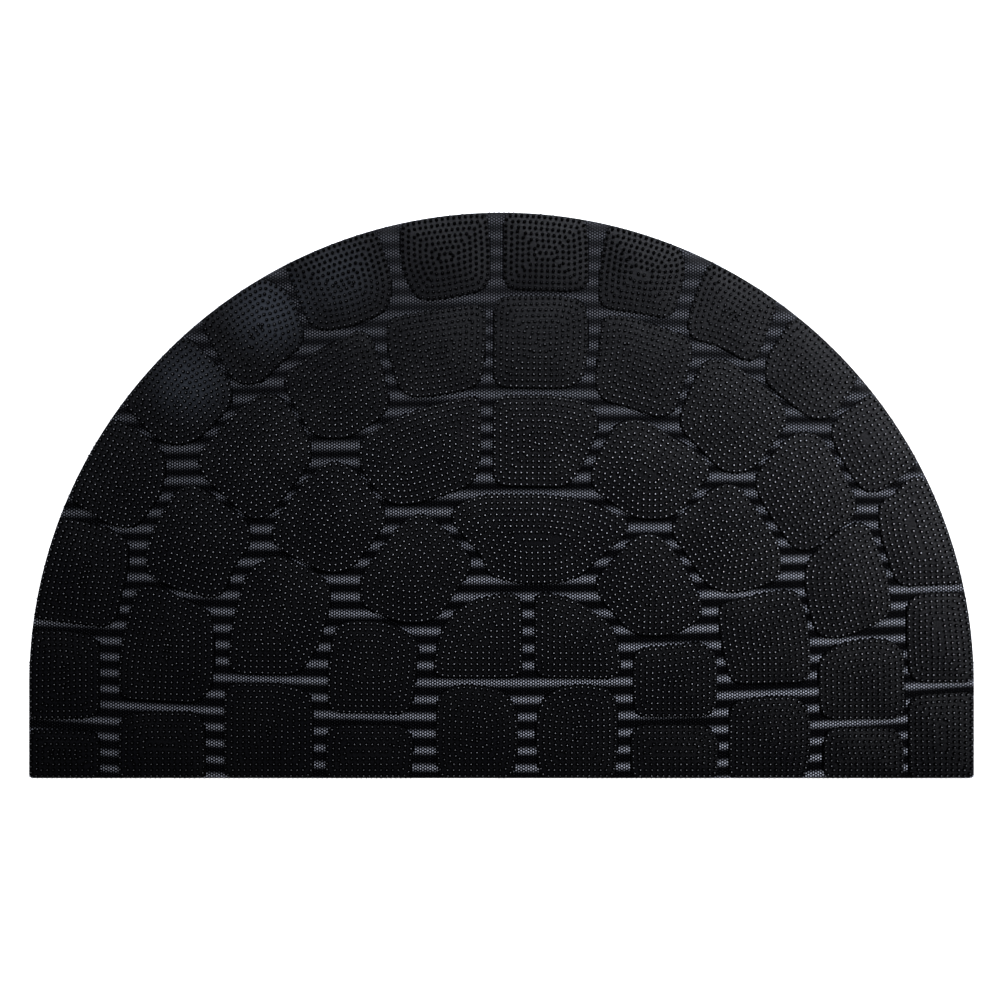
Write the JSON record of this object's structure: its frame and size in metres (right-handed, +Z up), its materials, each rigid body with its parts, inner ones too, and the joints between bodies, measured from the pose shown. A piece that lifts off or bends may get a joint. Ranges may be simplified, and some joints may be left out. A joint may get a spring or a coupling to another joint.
{
  "type": "doormat",
  "caption": "Half-round moulded rubber doormat with a cobblestone relief, short cleaning pins on the stones and a pimpled texture in the joints.",
  "frame": {"origin": "middle of the rectangle around the mat, on its underside", "axes": "+X along the straight edge, +Y towards the top of the arch, +Z up from the floor"},
  "size_m": [0.75, 0.449, 0.008],
  "materials": {
    "rubber_black": "moulded black rubber, dull with a soft sheen"
  },
  "bodies": {
    "root": {"mat": "rubber_black"}
  },
  "joints": []
}
